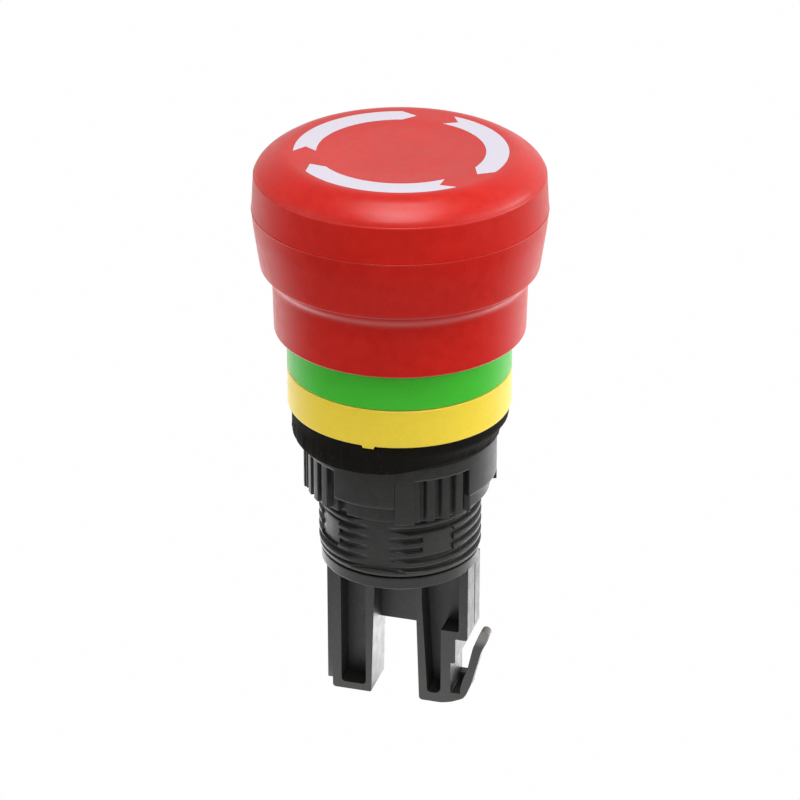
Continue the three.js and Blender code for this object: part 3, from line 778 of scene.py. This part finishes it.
# outlines are (x, z[, corner radius])
LEFT_LEG = [(-8.97, Z_ROOT), (-2.72, Z_ROOT), (-3.37, Z_FOOT, 0.25), (-8.97, Z_FOOT, 0.45)]
RIGHT_LEG = [
    (2.85, Z_ROOT), (10.45, Z_ROOT), (10.45, -30.3, 0.35), (8.72, -30.3, 0.1),
    (8.72, -34.15, 0.75), (8.06, -34.15, 0.1), (8.06, -38.9, 0.1), (9.5, -38.9),
    (9.5, -39.75, 0.2), (8.2, -40.34, 2.0), (6.8, Z_FOOT, 4.0), (3.55, Z_FOOT, 0.5),
]
LEFT_POCKET = [(-7.7, Z_ROOT + OVERCUT), (-7.7, -39.65, 0.55), (-4.15, -39.65, 0.55),
               (-4.15, Z_ROOT + OVERCUT)]
RIGHT_POCKET = [
    (3.9, Z_ROOT + OVERCUT), (3.9, -24.9), (4.67, -38.1, 0.4), (4.7, -39.3, 0.95),
    (6.65, -39.3, 0.95), (6.65, -29.1, 0.05), (9.2, -29.1, 0.3), (9.2, Z_ROOT + OVERCUT),
]
PUSHER_PASSAGE = [(0, -16), (3.85, -16), (3.85, -21.8), (3.08, -21.95), (3.08, -24.1),
                  (0, -24.1)]


def plate(outline, y_range, name="tool"):
    return prism(name, fillet(outline, support=0), *y_range)


def box(x_range, y_range, z_range):
    (left, right), (low, high) = x_range, z_range
    return prism("tool", [(left, low), (right, low), (right, high), (left, high)], *y_range)


through = (Y_FRONT, Y_BACK)
pocket = (Y_FRONT - OVERCUT, Y_POCKET)
fork = plate(LEFT_LEG, through, "adapter_fork_fine")
# strip along the left edge
boolean(fork, "UNION", box((-10.42, -8.6), (-0.4, Y_BACK), (Z_FOOT, Z_ROOT)))
boolean(fork, "UNION", plate(RIGHT_LEG, through))
# block at the foot of the right leg
boolean(fork, "UNION", box((7.9, 10.0), (1.6, 2.9), (-39.6, -38.0)))
# web between the legs
boolean(fork, "UNION", box((-3.2, 3.2), (1.2, Y_BACK), (-30.6, Z_ROOT)))
boolean(fork, "DIFFERENCE", plate(LEFT_POCKET, pocket))
boolean(fork, "DIFFERENCE", plate(RIGHT_POCKET, pocket))
# fine groove down the right side
boolean(fork, "DIFFERENCE", box((10.3, 10.8), (0.55, 0.85), (-29.4, -18.5)))
# slot in the foot of the right leg
boolean(fork, "DIFFERENCE", box((8.2, 9.3), (-2.35, 1.5), (-39.45, -38.0)))
boolean(fork, "DIFFERENCE", lathe("tool", PUSHER_PASSAGE, seg=96))
soften(fork, 0.13)
finish_piece(fork, M_BLACK, "base", "coupling_adapter")

# the arm and its root are one sweep (x, z): up from the foot of the right leg,
# round the tip and back down
ARM_LINE = [
    (9.40, -38.95), (9.47, -37.9), (9.93, -36.2), (10.39, -34.92), (10.76, -33.26),
    (11.21, -31.27), (11.42, -30.70), (11.9, -29.42), (12.12, -28.92), (12.32, -28.55),
    (12.6, -28.38), (13.02, -28.42), (13.34, -28.68), (13.46, -29.08), (13.34, -29.65),
    (13.02, -30.45), (12.64, -31.2), (12.36, -31.9), (12.07, -33.04), (11.64, -34.7),
    (11.2, -36.38), (10.9, -37.39), (10.63, -38.08), (10.28, -38.95), (9.78, -39.62),
    (9.2, -39.88), (8.6, -39.98),
]
ARM_ROOT = [(8.6, -39.4), (9.2, -39.3)]
ARM_BACK = -1.2
arm = prism("latch_arm_fine", ARM_ROOT + spline(ARM_LINE, per=4), Y_FRONT - 0.02, ARM_BACK)
soften(arm, 0.12)
paint(arm, M_ARM)
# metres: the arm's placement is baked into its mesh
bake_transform(arm)
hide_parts("latch_arm")

pusher = lathe("contact_pusher_fine", fillet([
    (0, -4.2), (2.6, -4.2, 0.1), (3.0, -4.6, 0.1), (3.0, -15.3, 0.05), (3.6, -15.35, 0.1),
    (3.6, -16.6, 0.1), (2.9, -16.7, 0.1), (2.9, -18.6, 0.15), (2.6, -18.9, 0.15), (0, -18.9),
], steps=4, closed=False), seg=96)
finish_piece(pusher, M_BLACK, "plunger_body", "contact_pusher")

# ---------------------------------------- inside pieces keep their CAD mesh
INSIDE = [
    (M_NATURAL, ("stem", "plunger", "guide_bush")),
    (M_STEEL, ("stem_clip", "torsion_spring", "return_spring", "latch_pawl_left",
               "latch_pawl_right", "pawl_spring_left", "pawl_spring_right")),
    (M_RUBBER, ("shaft_seal",)),
]
for inside_mat, names in INSIDE:
    for inside_name in names:
        paint(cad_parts[inside_name], inside_mat)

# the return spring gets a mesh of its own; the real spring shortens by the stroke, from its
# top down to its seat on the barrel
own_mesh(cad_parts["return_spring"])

# -------------------------------------------------------------------- camera
scene = bpy.context.scene
scene.view_settings.view_transform = "Standard"
scene.view_settings.look = "None"

CAM_AZIMUTH, CAM_ELEVATION = math.radians(16.5), math.radians(26.3)
CAM_DISTANCE = 0.45             # metres
CAM_TARGET = Vector((0, 0, 0.00375 + LIFT * MM))
FRONT = Vector((math.sin(CAM_AZIMUTH), -math.cos(CAM_AZIMUTH), 0.0))    # level, to the camera
RIGHT = Vector((math.cos(CAM_AZIMUTH), math.sin(CAM_AZIMUTH), 0.0))
to_camera = FRONT * math.cos(CAM_ELEVATION) + Vector((0, 0, math.sin(CAM_ELEVATION)))

cam = bpy.data.cameras.new("camera")
cam.sensor_fit = "HORIZONTAL"
cam.sensor_width = 36.0
cam.lens = 151.083
cam.shift_x = -0.0001875
cam.shift_y = 0.0005
cam.clip_start = 0.01
cam.clip_end = 20
cam_obj = bpy.data.objects.new("camera", cam)
cam_obj.location = CAM_TARGET + to_camera * CAM_DISTANCE
cam_obj.rotation_euler = (-to_camera).to_track_quat("-Z", "Y").to_euler()
scene.collection.objects.link(cam_obj)
scene.camera = cam_obj

# --------------------------------------------------------------------- world
PAPER = (0.9955, 0.9955, 0.9955, 1)     # what the camera sees behind the object
# light tent: pale behind, brighter on the right, dim on the camera's side
TENT = dict(left=0.45, right=0.8, back=0.4, front=0.25, zenith=0.15)


def build_world():
    world = bpy.data.worlds.new("tent")
    scene.world = world
    graph = Graph(world)
    direction = graph.node("TexCoord").outputs["Generated"]
    forward = graph.dot(direction, FRONT)
    z = graph.dot(direction, (0, 0, 1))
    level = graph.ramp(graph.dot(direction, RIGHT), -0.9, 0.9, TENT["left"], TENT["right"])
    rear = graph.math("MULTIPLY", graph.ramp(forward, -0.95, -0.3, TENT["back"], 0.0),
                      graph.ramp(z, 0.3, 0.75, 1.0, 0.2))
    level = graph.math("ADD", level, rear)
    level = graph.math("MULTIPLY", level, graph.ramp(forward, 0.3, 0.9, 1.0, TENT["front"]))
    overhead = graph.ramp(z, 0.7, 0.9)
    level = graph.math(
        "ADD", graph.math("MULTIPLY", level, graph.math("SUBTRACT", 1.0, overhead)),
        graph.math("MULTIPLY", overhead, TENT["zenith"]))
    tent = graph.node("Background", {1: level})
    paper = graph.node("Background", {0: PAPER})
    graph.split_by_ray(tent.outputs[0], paper.outputs[0], "OutputWorld")


build_world()

# --------------------------------------------------------------------- floor
# paper under the object; seen directly it is plain white, to the object a lit sheet
FLOOR_GAP = 0.0002              # metres below the feet
SHEET_REACH = 300.0
SHEET_SCALE = 4.0               # radiances are divided by this inside the colour ramps
# distance from the axis, radiance in front of the object, radiance behind it
SHEET = [
    (0.0, 1.7, 3.2), (15.0, 1.65, 5.4), (30.0, 1.45, 3.7), (45.0, 0.95, 3.3),
    (75.0, 0.38, 2.2), (95.0, 0.16, 1.8), (120.0, 0.10, 1.45), (155.0, 0.09, 1.15),
    (300.0, 0.14, 0.8),
]


def floor_material():
    mat = bpy.data.materials.new("floor_white")
    graph = Graph(mat)
    position = graph.node("NewGeometry").outputs["Position"]
    level = graph.node("VectorMath", {0: position, 1: (1.0, 1.0, 0.0)}, operation="MULTIPLY")
    length = graph.node("VectorMath", {0: level.outputs[0]}, operation="LENGTH")
    distance = graph.math("MAXIMUM", length.outputs["Value"], 1e-4)
    forward = graph.math("DIVIDE", graph.dot(position, FRONT), distance)

    def sheet(column):
        reach = graph.math("DIVIDE", distance, SHEET_REACH * MM)
        node = graph.node("ValToRGB", {0: reach})
        ramp = node.color_ramp
        ramp.interpolation = "LINEAR"
        while len(ramp.elements) < len(SHEET):
            ramp.elements.new(0.5)
        for element, row in zip(ramp.elements, SHEET):
            grey = row[column] / SHEET_SCALE
            element.position = row[0] / SHEET_REACH
            element.color = (grey, grey, grey, 1)
        return graph.math("MULTIPLY", node.outputs[0], SHEET_SCALE)

    behind = graph.ramp(graph.math("MULTIPLY", forward, -1.0), -0.25, 0.85)
    glow = graph.math(
        "ADD", graph.math("MULTIPLY", sheet(2), behind),
        graph.math("MULTIPLY", sheet(1), graph.math("SUBTRACT", 1.0, behind)))
    lit = graph.node("Emission", {"Strength": glow})
    seen = graph.node("Emission", {"Color": PAPER})
    graph.split_by_ray(lit.outputs[0], seen.outputs[0], "OutputMaterial")
    return mat


grid = bmesh.new()
bmesh.ops.create_grid(grid, x_segments=8, y_segments=8, size=1.5)
floor_mesh = bpy.data.meshes.new("floor")
grid.to_mesh(floor_mesh)
grid.free()
floor = bpy.data.objects.new("floor", floor_mesh)
floor.location = (0, 0, CAD_BOX[0][2] - FLOOR_GAP)
scene.collection.objects.link(floor)
floor_mesh.materials.append(floor_material())

# -------------------------------------------------------------------- lights
LIGHT_AIM = Vector((0, 0, (20.0 + LIFT) * MM))


def area(name, turn, elevation, distance, size, radiance, glossy=True):
    """Softbox facing the object; turn runs from the camera's side to the right.

    Angles are degrees, distance and size (width, depth) metres.
    """
    width, depth = size
    light = bpy.data.lights.new(name, "AREA")
    light.shape = "RECTANGLE"
    light.size = width
    light.size_y = depth
    light.energy = radiance * math.pi * width * depth
    obj = bpy.data.objects.new(name, light)
    turn, elevation = math.radians(turn), math.radians(elevation)
    out = ((FRONT * math.cos(turn) + RIGHT * math.sin(turn)) * math.cos(elevation)
           + Vector((0, 0, math.sin(elevation))))
    side = RIGHT if abs(out.dot(RIGHT)) < 0.7 else FRONT
    across = (side - out * side.dot(out)).normalized()
    pose = Matrix((across, out.cross(across), out)).transposed().to_4x4()
    pose.translation = LIGHT_AIM + out * distance
    obj.matrix_world = pose
    obj.visible_glossy = glossy
    scene.collection.objects.link(obj)


FILL = dict(distance=1.0, size=(1.2, 0.8), glossy=False)
area("top_box", turn=0.0, elevation=75.0, distance=0.75, size=(0.38, 0.62), radiance=5.9)
area("right_box", turn=100.0, elevation=20.0, distance=0.75, size=(0.28, 0.24), radiance=4.2)
area("front_fill", turn=0.0, elevation=14.0, radiance=1.08, **FILL)
area("right_fill", turn=80.0, elevation=12.0, radiance=3.1, **FILL)
area("left_fill", turn=-75.0, elevation=8.0, radiance=2.0, **FILL)
